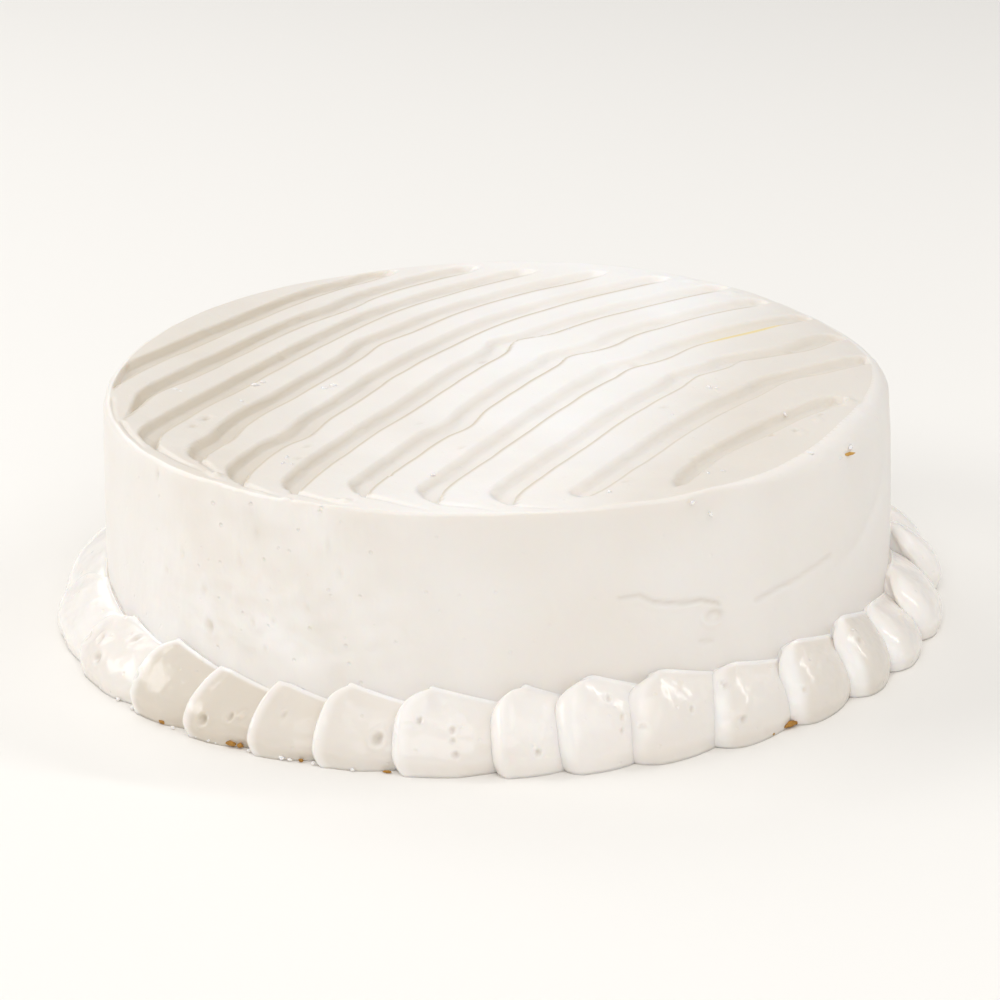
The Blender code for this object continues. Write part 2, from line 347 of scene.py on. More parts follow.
# Thin ridges pushed up by the comb and the spatula: the same measures, height instead of depth
RIM_RIDGES = (
    (-137, -131, 124.6, 126.8, 0.8, 0.6), (-135.5, -128.5, 129, 128, 0.4, 0.4),
    (-126, -119, 127.2, 129.2, 0.7, 0.6), (-114.5, -109.5, 124, 125.4, 0.7, 0.5),
    (-118, -104, 128.8, 128.5, 0.35, 0.3), (-88, -74, 128, 128.8, 0.4, 0.3),
    (-74, -66, 128.4, 127.8, 0.4, 0.3), (-65, -53, 127, 129, 0.4, 0.4),
    (-52, -44, 129, 127.2, 0.6, 0.7),
)
# Nothing on the top stands higher than this, and the grooves fade out this near the rim
TOP_LIMIT = 0.0813
RIM_FADE = 0.0014
# How much deeper the colour grows towards the left, and the painted shade towards the right rim
LEFT_WARMTH = 1.15
RIGHT_SHADE = 1.05
# Pits left by air bubbles: x, y, radius, depth, in millimetres
TOP_PITS = (
    (-95, -32.6, 1.5, 1), (-98.8, -40.3, 1.1, 0.8), (-60.2, -62, 1, 0.6), (-63, -74.5, 0.9, 0.6),
    (-33.5, -91.5, 1, 0.5), (-11, -67, 0.9, 0.5), (8.5, -88, 0.8, 0.5), (21, -96.5, 0.8, 0.5),
    (40, -103, 0.9, 0.5), (-56, -5.2, 1.3, 0.6), (-52, -74, 1.2, 0.5), (88, -62, 1, 0.6),
    (96, -58, 1, 0.6), (101, -74, 1, 0.6), (105, -44, 0.9, 0.5), (62, -82, 1, 0.4),
    (30, -60, 0.8, 0.4), (55, -34, 0.9, 0.5), (47, 12, 1.4, 0.5), (28, 72, 1.1, 0.5),
    (-4, 22, 0.9, 0.5), (73, 66, 1.1, 0.5), (100, 24, 1, 0.5), (-36, 60, 1, 0.4), (-73, 30, 1, 0.4),
    (12, -31, 0.8, 0.4), (-25, -44, 0.7, 0.4),
)
# Raised dabs: x, y, radius, height, in millimetres
TOP_DABS = (
    (114, -30.5, 3, 0.9), (-66, -112, 1.6, 0.7), (-88, -88.5, 1.5, 0.8), (-47, -114.5, 1.4, 0.6),
    (30, 43, 3, 0.35), (18, 39, 3.2, 0.3), (104, -49, 1.6, 0.5), (98, -60, 1.4, 0.5),
    (84, 88, 2, 0.6), (70, 104, 2, 0.5),
)


def strokes(angle, radius, marks):
    """Height of thin strokes that follow the rim, each a bell across that narrows to its end."""
    total = np.zeros_like(radius)
    for start, end, begin, finish, half, height in marks:
        share = turned_from(angle, start) / (end - start)
        line = 0.001 * (begin + (finish - begin) * np.clip(share, 0.0, 1.0) ** 1.3)
        left = np.clip(1.0 - share, 0.0, 1.0)
        fade = smooth(share / 0.12 + 1.0) * left**0.8
        spread = 0.001 * half * (0.45 + 0.55 * left)
        total = np.maximum(total, 0.001 * height * fade * bell(radius - line, spread))
    return total


def dents(x, y, marks):
    """Depth of round pits with a low raised ring."""
    total = np.zeros_like(x)
    for centre_x, centre_y, radius, depth in marks:
        away = np.hypot(x - 0.001 * centre_x, y - 0.001 * centre_y) * 1000.0
        total += 0.001 * depth * (bell(away, radius) - 0.3 * bell(away - 1.7 * radius, 0.6 * radius))
    return total


def combed_top(side, along):
    """Places on the top for grid values side and along, with the painted tint and shade there.

    The height is the lifted top less the deepest groove and the pits, plus dabs, ridges and a
    fine unevenness. The colour value is painted shade that grows with depth, on the far walls,
    towards the right rim and in pits, with a painted shadow line along the near lips; it also
    grows towards the left.
    """
    across = groove_across(side, along)
    x, y = turned_to_cake(along, across)
    angle, radius = np.arctan2(y, x), np.hypot(x, y)
    flat = np.stack([x, y, np.zeros_like(x)], axis=-1)
    ragged = 0.00016 * uneven(flat, 5, 0.014, 0.0055)
    depth, shade = np.zeros_like(x), np.zeros_like(x)
    for tooth in range(COMB_TEETH):
        one_depth, one_shade = groove_depth(tooth, along, across, ragged)
        depth, shade = np.maximum(depth, one_depth), np.maximum(shade, one_shade)
    tails = strokes(angle, radius, HOOK_TAILS)
    pits = dents(x, y, TOP_PITS)
    inland = smooth((top_edge(angle) - radius + 0.0002) / RIM_FADE)
    depth, shade = depth * inland, shade * inland
    height = CAKE_HEIGHT + top_lift(x, y) - np.maximum(depth, tails) - pits
    height -= dents(x, y, [(a, b, c, -d) for a, b, c, d in TOP_DABS])
    height += strokes(angle, radius, RIM_RIDGES)
    height += 0.00016 * uneven(flat, 11, 0.045, 0.012) + 0.000015 * uneven(flat, 12, 0.006, 0.0022)
    height = TOP_LIMIT - 0.0004 * np.log1p(np.exp((TOP_LIMIT - height) / 0.0004))
    left = np.clip((0.020 - x) / 0.110, 0.0, 1.0)
    right = smooth((x - 0.3 * y - 0.030) / 0.070)
    # Painted shade with depth, on the far walls and towards the sagging right rim; deeper to the left too
    tint_and_shade = np.maximum(depth, 0.8 * tails) / GROOVE_DEPTH * (0.2 + 0.35 * left)
    tint_and_shade += shade * (0.40 + 0.60 * left) + LEFT_WARMTH * left**1.4 + RIGHT_SHADE * right
    # Painted shade in the pits
    tint_and_shade += np.clip(pits / 0.0008, 0.0, 1.0)
    # Painted shadow along the near lips
    tint_and_shade = np.maximum(tint_and_shade, lip_shadow(along, across) * inland)
    return x, y, height, tint_and_shade


# Marks on the side: angle in degrees and height in millimetres, radius and depth in millimetres
WALL_PITS = (
    (-134, 30.5, 1.6, 0.9), (-139, 52, 0.9, 0.4), (-126, 36, 1, 0.4), (-122.5, 38.5, 0.8, 0.4),
    (-124, 28.5, 0.8, 0.4), (-117, 45, 0.9, 0.3), (-128, 65, 0.9, 0.3), (-112, 58, 1, 0.3),
    (-143, 44, 0.9, 0.3), (-125, 67.7, 0.9, 0.6), (-145.3, 75.5, 0.9, 0.5), (-113.6, 66, 0.8, 0.4),
    (-134.1, 65.5, 0.8, 0.4), (-128, 56.4, 1.1, 0.4), (-134.8, 42.7, 1.1, 0.4),
)
RIM_ROWS = 7
RIM_STEP = 0.0009
WALL_ROWS = 42
WALL_CLOSE = (0.027, 0.053)
BORDER_TOP = 0.018
WALL_WARMTH = 0.12
WALL_WARMER = 0.40
WALL_MOTTLE = 0.10
BORDER_ROWS = 4
# The rougher part of the side, on the left, in degrees
ROUGH_ANGLE = -124.0
ROUGH_SPREAD = 19.0
PITTED_SPREAD = 26.0
# The front half of the rim, where more points lie
FRONT_MIDDLE = -82.0
FRONT_HALF = 89.74

# Creases left by the spatula: from angle and height to angle and height, half width, how far out
WALL_CREASES = (
    (-92.6, 49, -89.9, 50.9, 0.6, 0.28), (-89.9, 50.9, -87.3, 51, 0.6, 0.22),
    (-73.6, 49.6, -70.7, 49.7, 0.65, -0.45), (-70.7, 49.7, -68.5, 46.6, 0.65, -0.55),
    (-68.5, 46.6, -64.8, 45, 0.65, -0.62), (-64.8, 45, -61.6, 44.6, 0.65, -0.68),
    (-61.6, 44.6, -58.4, 41.6, 0.65, -0.68), (-73.6, 48, -70.7, 48.1, 0.9, 0.24),
    (-70.7, 48.1, -68.5, 45, 0.9, 0.26), (-68.5, 45, -64.8, 43.4, 0.9, 0.28),
    (-64.8, 43.4, -61.6, 43, 0.9, 0.28), (-52.3, 39.4, -45.4, 40.8, 0.75, -0.5),
    (-45.4, 40.65, -36.2, 43.8, 0.75, -0.42), (-52.3, 37.6, -45.4, 39, 1.2, 0.16),
    (-61.6, 30.6, -59.6, 29.8, 0.65, -0.4), (-62.6, 33.4, -60, 34.6, 0.8, 0.18),
    (-71.4, 70.75, -68, 70.4, 0.7, 0.5),
)
# Wide folds: the same measures, with how deep instead of how far out
WALL_FOLDS = (
    (-15, 56, -20, 49, 3.4, 0.9), (-20, 49, -26, 43, 3.4, 0.8), (-26, 43, -33, 39.5, 2.8, 0.5),
)
# The oval dimple: angle, height, half width and half height, depth and height of its lower rim
WALL_DIMPLE = (-59.4, 37.6, 3.5, 2.4, 0.55, 0.6)


def wall_relief(angle, height):
    """How far the side stands out from its mean at an angle and height, and how much darker and
    warmer it is painted, as shade in its marks and as a random mottle on the left.

    Broad spatula waves all round, finer lumps on the left where the cream is rougher, then pits,
    creases and folds along straight lines, and one oval dimple with a raised rim.
    """
    place = round_axis(RIM_RADIUS, angle, height)
    stretched = place * np.array([1.0, 1.0, 0.45])
    rough = bell(turned_from(angle, ROUGH_ANGLE), ROUGH_SPREAD)
    relief = 0.00026 * uneven(stretched, 21, 0.050, 0.018)
    relief += (0.00002 + 0.00013 * rough) * uneven(place, 22, 0.009, 0.0028)
    to_mm = math.radians(1.0) * RIM_RADIUS * 1000.0
    level = height * 1000.0
    sunk, raised = np.zeros_like(relief), np.zeros_like(relief)

    def from_line(first, low, last, high):
        # Distance, in millimetres, from the straight line between two places on the side
        run, lift = to_mm * (last - first), high - low
        beside, above = to_mm * turned_from(angle, first), level - low
        share = np.clip((beside * run + above * lift) / (run * run + lift * lift), 0.0, 1.0)
        return np.hypot(beside - share * run, above - share * lift)

    for centre, middle, radius, depth in WALL_PITS:
        away = np.hypot(to_mm * turned_from(angle, centre), 0.8 * (level - middle))
        sunk = np.maximum(sunk, depth * bell(away, radius))
        raised = np.maximum(raised, 0.3 * depth * bell(away - 1.7 * radius, 0.6 * radius))
    for *ends, half, out in WALL_CREASES:
        mark = out * bell(from_line(*ends), half)
        sunk, raised = np.maximum(sunk, -mark), np.maximum(raised, mark)
    centre, middle, half_width, half_height, depth, rim = WALL_DIMPLE
    beside, above = to_mm * turned_from(angle, centre) / half_width, (level - middle) / half_height
    oval, upper = np.hypot(beside, above), smooth(0.6 + 0.5 * above + 0.3 * beside)
    sunk = np.maximum(sunk, depth * bell(oval - 0.75, 0.35) * upper)
    raised = np.maximum(raised, rim * bell(oval - 1.1, 0.30) * (1.0 - upper))
    # Painted shade in the pits, creases and dimple, and a random mottle of warmer cream on the rough left
    tone_and_shade = sunk + WALL_MOTTLE * rough * uneven(place, 23, 0.024, 0.007)
    for *ends, half, depth in WALL_FOLDS:
        sunk = np.maximum(sunk, depth * bell(from_line(*ends), half))
    return relief + 0.001 * (raised - sunk), tone_and_shade


def wall_levels(rows):
    """Shares of the way down the side at which its rows lie, most of them at the creases."""
    top, foot = CAKE_HEIGHT - RIM_ROUND, BORDER_TOP
    high = np.linspace(top, foot, 800)
    low, upper = WALL_CLOSE
    close = smooth((high - low) / 0.004 + 0.5) * smooth((upper - high) / 0.004 + 0.5)
    return (top - shared_out(high, 1.0 + 1.9 * close, rows)) / (top - foot)


def closer_rim(points, loop):
    """More points on the loop round the top where it faces the front and lies too far apart.

    They share out the angle and the height between their two neighbours. Slim triangles from
    the first neighbour join them to the top.
    """
    angle = np.arctan2(points[loop, 1], points[loop, 0])
    beside = np.roll(np.arange(len(loop)), -1)
    turn = (angle[beside] - angle + math.pi) % (2.0 * math.pi) - math.pi
    front = np.abs(turned_from(angle, FRONT_MIDDLE)) < FRONT_HALF
    extra = np.where(front, np.abs(turn) * RIM_RADIUS // RIM_STEP, 0).astype(int)
    owner = np.repeat(np.arange(len(loop)), extra)
    rank = np.arange(len(owner)) - np.repeat(np.cumsum(extra) - extra, extra) + 1
    share = rank / (extra[owner] + 1.0)
    added_angle = angle[owner] + share * turn[owner]
    z = points[loop, 2]
    added_z = z[owner] + share * (z[beside[owner]] - z[owner])
    added = round_axis(top_edge(added_angle), added_angle, added_z)
    fresh = len(points) + np.arange(len(added))
    order = np.argsort(np.concatenate([np.arange(len(loop)), owner + share]), kind="stable")
    longer = np.concatenate([loop, fresh])[order]
    after = np.roll(longer, -1)
    place = np.empty(len(points) + len(added), int)
    place[longer] = np.arange(len(longer))
    slivers = np.stack([loop[owner], fresh, after[place[fresh]]], axis=-1)
    return np.concatenate([points, added]), longer, slivers


def spread_cream_surface():
    """Points, faces, tint and painted shade of the whole coat: combed top, rounded rim, side and
    flat foot.

    The top is a grid of lines. The first and last lines shrink to a point. Rings then run out
    from its edge over the rounding, down the side and in to the middle of the foot.
    """
    sides = comb_lines()
    start, end = line_ends(sides)
    share = line_steps()[None, :]
    along = start[:, None] + (end - start)[:, None] * share
    along[[0, -1]] = 0.5 * (start + end)[[0, -1], None]
    x, y, z, tint_and_shade = combed_top(np.repeat(sides[:, None], LINE_POINTS + 1, axis=1), along)
    top = np.stack([x, y, z], axis=-1)
    lines, steps = x.shape
    number = np.arange(lines * steps).reshape(lines, steps)
    number[0], number[-1] = number[0, 0], number[-1, 0]
    faces = np.stack(
        [number[:-1, :-1], number[1:, :-1], number[1:, 1:], number[:-1, 1:]], axis=-1
    ).reshape(-1, 4)

    loop = np.concatenate([number[:, 0], number[-2:0:-1, -1]])
    points, edge, slivers = closer_rim(top.reshape(-1, 3), loop)
    angle = np.arctan2(points[edge, 1], points[edge, 0])
    rounding = rim_round(angle)
    brink = points[edge, 2]
    even = CAKE_HEIGHT + top_lift(points[edge, 0], points[edge, 1])
    rings, cuts = [], []

    def add_ring(level, back=0.0, share=1.0):
        relief, cut = wall_relief(angle, level)
        out = wall_radius(angle, level) - back + share * relief
        cuts.append(cut)
        rings.append(round_axis(out, angle, level))

    for row in range(1, RIM_ROWS + 1):
        swing = 0.5 * math.pi * row / RIM_ROWS
        level = even + (brink - even) * math.cos(swing) ** 2 - rounding * (1.0 - math.cos(swing))
        add_ring(level, rounding * (1.0 - math.sin(swing)), math.sin(swing) ** 2)
    below = even - rounding
    shown = WALL_ROWS - BORDER_ROWS
    fallen = wall_levels(shown)
    for row in range(1, WALL_ROWS + 1):
        if row <= shown:
            add_ring(below + (BORDER_TOP - below) * fallen[row])
        else:
            add_ring(np.full_like(below, BORDER_TOP * (WALL_ROWS - row) / BORDER_ROWS))
    count = len(edge)
    fresh = len(points) + np.arange(len(rings) * count).reshape(len(rings), count)
    belt = np.concatenate([edge[None, :], fresh])
    beside = np.roll(belt, -1, axis=1)
    sheath = np.stack([belt[:-1], belt[1:], beside[1:], beside[:-1]], axis=-1).reshape(-1, 4)
    foot = len(points) + len(rings) * count
    base = np.stack([beside[-1], belt[-1], np.full(count, foot)], axis=-1)
    drawn = len(points)
    points = np.concatenate([points] + rings + [np.zeros((1, 3))])
    # Warmer towards the top of the side, with the painted shade of its marks added; the top keeps its own
    # values
    tone_and_shade = WALL_WARMTH + WALL_WARMER * points[:, 2] / CAKE_HEIGHT
    tone_and_shade[drawn:-1] += np.concatenate(cuts)
    tone_and_shade[: tint_and_shade.size] = tint_and_shade.reshape(-1)
    return points, [faces, sheath, slivers, base], tone_and_shade


def make_mesh(name, points, faces, values):
    """A closed, smooth mesh from arrays of points and faces, with named values at its points.

    Faces that have shrunk to a line go, unused points go, and where the enclosed volume comes out
    negative every face is turned round.
    """
    loose = [list(dict.fromkeys(face)) for part in faces for face in part.tolist()]
    loose = [face for face in loose if len(face) > 2]
    used = np.unique(np.concatenate([np.array(face) for face in loose]))
    renumber = np.full(len(points), -1)
    renumber[used] = np.arange(len(used))
    corners = renumber[np.concatenate([np.array(face) for face in loose])]
    sizes = np.array([len(face) for face in loose])
    starts = np.concatenate([[0], np.cumsum(sizes)[:-1]])
    points = points[used]
    first, second, third = (points[corners[starts + k]] for k in range(3))
    last = points[corners[starts + sizes - 1]]
    volume = (np.cross(second, third) * first).sum() + (np.cross(third, last) * first).sum()
    mesh = bpy.data.meshes.new(name)
    mesh.vertices.add(len(points))
    mesh.vertices.foreach_set("co", points.astype(np.float32).ravel())
    mesh.loops.add(len(corners))
    mesh.loops.foreach_set("vertex_index", corners.astype(np.int32))
    mesh.polygons.add(len(sizes))
    mesh.polygons.foreach_set("loop_start", starts.astype(np.int32))
    mesh.update(calc_edges=True)
    mesh.validate()
    if volume < 0.0:
        mesh.flip_normals()
    for label, value in values.items():
        layer = mesh.attributes.new(label, "FLOAT", "POINT")
        layer.data.foreach_set("value", value[used].astype(np.float32))
    mesh.shade_smooth()
    return mesh


def linear(colour):
    """An sRGB hex colour as linear red, green, blue and full opacity."""
    parts = [int(colour[place : place + 2], 16) / 255.0 for place in (1, 3, 5)]
    bent = [part / 12.92 if part <= 0.04045 else ((part + 0.055) / 1.055) ** 2.4 for part in parts]
    return (*bent, 1.0)


def node(tree, kind, settings=(), out=0, **links):
    """Adds a node, sets its properties and socket values, links to it, and returns its output out.

    In settings and links, a name with a leading capital or a number is a socket, with _ for a
    space. A link's value is another node's output.
    """
    made = tree.nodes.new(kind)
    for name, value in dict(settings).items():
        if isinstance(name, int) or name[0].isupper():
            made.inputs[name].default_value = value
        else:
            setattr(made, name, value)
    for name, output in links.items():
        socket = made.inputs[int(name[1:]) if name[1:].isdigit() else name.replace("_", " ")]
        tree.links.new(output, socket)
    return made.outputs[out] if made.outputs else None


def finished(name, build):
    """A new material whose nodes are made by build, which returns its shader's output."""
    material = bpy.data.materials.new(name)
    material.use_nodes = True
    tree = material.node_tree
    tree.nodes.clear()
    node(tree, "ShaderNodeOutputMaterial", Surface=build(tree))
    return material


CREAM_WHITE = "#f9f6f3"
CREAM_WARM = "#f3ece4"
# The deeper colour of the painted shade and tint
CREAM_TINT_AND_SHADE = "#cfc3b0"
MILK_YELLOW = "#ecd9a0"


def whipped_cream(name, white, warm, lump, roughness, seed):
    """Whipped cream: milk fat and air, close to white, that lets light in a few millimetres.

    Its colour drifts from white to a warm ivory over some centimetres and is painted deeper in
    hollows and creases as shade.
    The surface is satin, smeared by the spatula, with fine grain and burst bubbles.
    """
    bump = "ShaderNodeBump"

    def build(tree):
        place = node(tree, "ShaderNodeTexCoord", out="Object")
        shift = {"Location": (seed, 0.4 * seed, 0.7 * seed)}
        place = node(tree, "ShaderNodeMapping", shift, Vector=place)
        # Drift of colour, about 40 mm from one patch to the next
        drift = node(tree, "ShaderNodeTexNoise", {"Scale": 22.0, "Detail": 1.0}, Vector=place)
        drift_range = {"From Min": 0.30, "From Max": 0.72, "To Max": 0.6}
        drift = node(tree, "ShaderNodeMapRange", drift_range, Value=drift)
        # Painted shade: hollows, far walls, pits, creases and near lips take a deeper colour, by the
        # mesh's tint and shade value
        tint_and_shade = node(tree, "ShaderNodeAttribute", {"attribute_name": "tint_and_shade"}, "Fac")
        tint_and_shade = node(tree, "ShaderNodeMapRange", {"From Max": 2.0, "To Max": 0.9}, Value=tint_and_shade)
        milk = node(tree, "ShaderNodeAttribute", {"attribute_name": "milk"}, "Fac")
        colour = {}
        for shade, share in ((warm, drift), (CREAM_TINT_AND_SHADE, tint_and_shade), (MILK_YELLOW, milk)):
            pair = {"data_type": "RGBA", 6: linear(white), 7: linear(shade)}
            colour = {"_6": node(tree, "ShaderNodeMix", pair, 2, _0=share, **colour)}
        # Grain of the whipped fat, 1.5 mm, and lumps
        grain = node(tree, "ShaderNodeTexNoise", {"Scale": 700.0, "Detail": 4.0}, Vector=place)
        lumps = node(tree, "ShaderNodeTexNoise", {"Scale": lump, "Detail": 5.0}, Vector=place)
        # Burst bubbles about 1 mm wide, 6 mm apart, as deep as the cream is pitted
        bubble = node(tree, "ShaderNodeTexVoronoi", {"Scale": 170.0, "Randomness": 1.0}, Vector=place)
        bubble_range = {"From Min": 0.03, "From Max": 0.13, "To Min": -1.0, "To Max": 0.0}
        bubble = node(tree, "ShaderNodeMapRange", bubble_range, Value=bubble)
        pitted = node(tree, "ShaderNodeAttribute", {"attribute_name": "pitted"}, "Fac")
        hole = node(tree, "ShaderNodeMath", {"operation": "MULTIPLY"}, _0=bubble, _1=pitted)
        normal = node(tree, bump, {"Strength": 0.25, "Distance": 0.0003}, Height=lumps)
        normal = node(tree, bump, {"Strength": 0.35, "Distance": 0.00012}, Height=grain, Normal=normal)
        normal = node(tree, bump, {"Strength": 0.8, "Distance": 0.0005}, Height=hole, Normal=normal)
        gloss_range = {"From Min": 0.35, "From Max": 0.65, "To Min": roughness, "To Max": roughness + 0.04}
        gloss = node(tree, "ShaderNodeMapRange", gloss_range, Value=lumps)
        cream = {"IOR": 1.45, "Subsurface Weight": 0.35, "Subsurface Scale": 0.0025}
        cream["Subsurface Radius"] = (1.0, 0.75, 0.5)
        links = {"Base_Color": colour["_6"], "Roughness": gloss, "Normal": normal}
        return node(tree, "ShaderNodeBsdfPrincipled", cream, **links)

    return finished(name, build)


# A thread of sweet milk that shines through along one groove: its ends, half width, in metres
MILK_THREAD = ((0.0679, 0.0271), (0.1000, 0.0509), 0.0017)


def milk_thread(points):
    """1 along the yellow thread, fading to its sides and ends."""
    (ax, ay), (bx, by), half = MILK_THREAD
    length = math.hypot(bx - ax, by - ay)
    ux, uy = (bx - ax) / length, (by - ay) / length
    along = ((points[:, 0] - ax) * ux + (points[:, 1] - ay) * uy) / length
    off = -(points[:, 0] - ax) * uy + (points[:, 1] - ay) * ux
    lens = np.sqrt(np.clip(4.0 * along * (1.0 - along), 0.0, 1.0))
    inside = (lens > 0.0) & (points[:, 2] > 0.0755)
    return smooth((lens * half - np.abs(off)) / 0.0009 + 0.5) * smooth(1.5 * lens) * inside


def place_piece(name, mesh, material, slot, *nodes):
    """An object of that mesh which rides on the cake and stands for the named solids."""
    mesh.materials.append(material)
    piece = bpy.data.objects.new(name, mesh)
    bpy.context.scene.collection.objects.link(piece)
    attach(piece, "root")
    if nodes:
        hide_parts(*nodes)


coat_points, coat_faces, coat_tint_and_shade = spread_cream_surface()
coat_angle = np.arctan2(coat_points[:, 1], coat_points[:, 0])
coat_side = np.hypot(coat_points[:, 0], coat_points[:, 1]) > RIM_RADIUS - 0.001
coat_pitted = 0.2 + 0.8 * coat_side * bell(turned_from(coat_angle, ROUGH_ANGLE), PITTED_SPREAD)
coat_values = {"tint_and_shade": coat_tint_and_shade, "milk": milk_thread(coat_points), "pitted": coat_pitted}
coat_mesh = make_mesh("spread_cream", coat_points, coat_faces, coat_values)
spread_finish = whipped_cream(
    "whipped_cream_spread_by_spatula", CREAM_WHITE, CREAM_WARM, 160.0, 0.40, 0.0
)
place_piece("spread_cream", coat_mesh, spread_finish, "spread_cream", "frosted_cake")

# The piped border
#
# Thirty pads of the same cream, pressed out of a wide open tip round the foot, each drawn off
# to the right so that the next one's rounded head covers its tail. The cream there is fresher
# and glossier than on the side.
SHELL_REACH = 0.01945
SHELL_HEIGHT = 0.0215
SHELL_PEAK = 0.36
SHELL_LAP = 0.10
REACH_LEAN = 0.055
LEAN_ANGLE = 325.0
SHELL_TAIL = 1.42
HEAD_DRAW_IN = 0.05
TAIL_DROP = 0.19
TAIL_DRAW_IN = 0.19
FACE_BULGE = 1.2
FACE_ROUNDNESS = 0.42
TOP_FLAT = 0.09
FOOT_TUCK = 0.06
FIRST_EDGE = 168.0
# The shells that show, from the left: width in degrees, height as a share of the usual, how far
# the head's rim leans back to its peak as a share of the width, how wide its roll is in
# millimetres, and how far its foot is turned back against its top, as a share of the width
SEEN_SHELLS = (
    (18, 1, 0.31, 3.2, 0), (16.5, 0.95, 0.31, 3.2, 0), (14.7, 0.95, 0.31, 3.2, 0),
    (10.4, 1.01, 0.18, 3.2, 0), (10.1, 0.83, 0.02, 3.2, 0), (9.2, 0.84, 0.02, 3.2, 0),
    (10.4, 1, 0.2, 3.2, 0), (12, 1.07, 0.27, 3.4, 0), (8.5, 1.16, 0.4, 3.8, 0),
    (9.7, 1.23, 0.34, 6, 0.08), (11.7, 1.12, 0.22, 9.5, 0.24), (11.8, 0.94, 0.04, 11, 0.32),
    (11.3, 0.95, 0.1, 10, 0.34), (9.7, 0.96, 0.2, 9, 0.32), (11.5, 0.78, 0.2, 9, 0.26),
    (15.5, 0.9, 0.2, 9, 0.2),
)
HIDDEN_SHELLS = 14
HIDDEN_LEAN = 0.3
HIDDEN_ROLL = 7.0
SEED = 33

# The head's rolled edge is foremost at this share of the height, and leans back above and below
EDGE_LEVEL = 0.50
EDGE_CURVE = 8.0
HEEL_CURVE = 3.6
EDGE_HEEL = 0.08
EDGE_BEAD = 0.022
BEAD_WIDTH = 0.07
ROLL_WIDTH = 3.2
ROLL_DEEP = 0.62
LIP_RISE = 0.0008
LIP_PLACE_OUT = 0.05
LIP_WIDTH = 0.03
WALL_SINK = 0.0015
ROLL_LINES = 14
FACE_LINES = 58
FACE_ARC = 42
FLAT_ARC = 12
SHELL_BACK = 4
# Pits left by burst bubbles: angle in degrees, height, radius and depth in millimetres
SHELL_PITS = (
    (-157.7, 12.5, 1.6, 1), (-154.3, 14.1, 1.3, 0.8), (-152.6, 9.6, 1.7, 1),
    (-142.6, 12.3, 1.2, 0.7), (-149, 17, 1, 0.6), (-129.2, 7.4, 1.5, 1.3), (-125.8, 9.2, 1.1, 0.7),
    (-124.6, 9.8, 0.9, -0.5), (-118.5, 13, 0.9, 0.4), (-105.4, 10.2, 1.7, 1.1),
    (-100.2, 16.7, 0.9, 0.7), (-96.1, 14.2, 0.9, 0.6), (-96, 11.6, 0.8, 0.5), (-95.6, 7.6, 1, 0.7),
    (-85.8, 8.1, 1.1, 0.8), (-76.3, 20.4, 0.8, 0.6), (-75, 15.3, 0.9, 0.6), (-75.4, 11.9, 0.8, 0.6),
    (-72.8, 12.8, 0.8, 0.6), (-65.8, 14.3, 0.9, 0.5), (-59.8, 17.4, 0.9, 0.7), (-59.6, 9.2, 1, 0.8),
    (-49.2, 11.4, 0.9, 0.5), (-35.6, 16.2, 0.8, 0.6),
)
# How much darker and warmer the face of each shell is painted, on the right-hand heads as
# painted shade: number, amount
FACE_TINT_AND_SHADE = dict(
    zip(range(3, 16), (0.45, 1.5, 1.5, 1.15, 0.8, 0.4, 0.2, 0.2, 0.5, 0.75, 1.0, 1.1, 0.5))
)


def dents_round(angle, height, marks):
    """Depth of pits with a low raised ring, sharper than those of the top."""
    total = np.zeros_like(angle)
    for centre, level, radius, depth in marks:
        sideways = np.radians(turned_from(angle, centre)) * 1000.0 * (RIM_RADIUS + SHELL_REACH)
        away = np.hypot(sideways, height * 1000.0 - level)
        ring = 0.3 * bell(away - 1.5 * radius, 0.5 * radius)
        total += 0.001 * depth * (1.2 * bell(away, 0.8 * radius) - ring)
    return total


def shell_plan():
    """Each shell's start, width, height, reach, lean, roll and skew, counterclockwise from the left."""
    draw = random.Random(SEED)
    rest = 360.0 - sum(row[0] for row in SEEN_SHELLS)
    shares = [draw.uniform(0.85, 1.15) for _ in range(HIDDEN_SHELLS)]
    rows = list(SEEN_SHELLS)
    for share in shares:
        height = draw.uniform(0.88, 1.1)
        rows.append((rest * share / sum(shares), height, HIDDEN_LEAN, HIDDEN_ROLL, 0.0))
    plan = []
    edge = FIRST_EDGE
    for width, height, peak, roll, skew in rows:
        lean = 1.0 + REACH_LEAN * math.cos(math.radians(edge - LEAN_ANGLE))
        reach = SHELL_REACH * lean * draw.uniform(0.97, 1.0)
        start = math.radians(edge - SHELL_LAP * width)
        plan.append((start, math.radians(width), SHELL_HEIGHT * height, reach, peak, roll, skew))
        edge += width
    return plan


def shell_section():
    """Shares of reach and height along a pad's section, from its foot up to the wall.

    The face falls from a narrow flat beside the wall. Its height is 1 less a power of the share
    of reach, to a smaller power, which slopes at the top and stands upright at the foot.
    """
    turn = 0.5 * math.pi * np.linspace(0.0, 1.0, FACE_ARC)
    reach = TOP_FLAT + (1.0 - TOP_FLAT) * np.cos(turn)
    inner = np.clip((reach - TOP_FLAT) / (1.0 - TOP_FLAT), 0.0, 1.0)
    rise = (1.0 - inner**FACE_BULGE) ** FACE_ROUNDNESS
    flat = TOP_FLAT * np.linspace(1.0, 0.0, FLAT_ARC + 1)[1:]
    return np.concatenate([reach, flat]), np.concatenate([rise, np.ones(FLAT_ARC)])


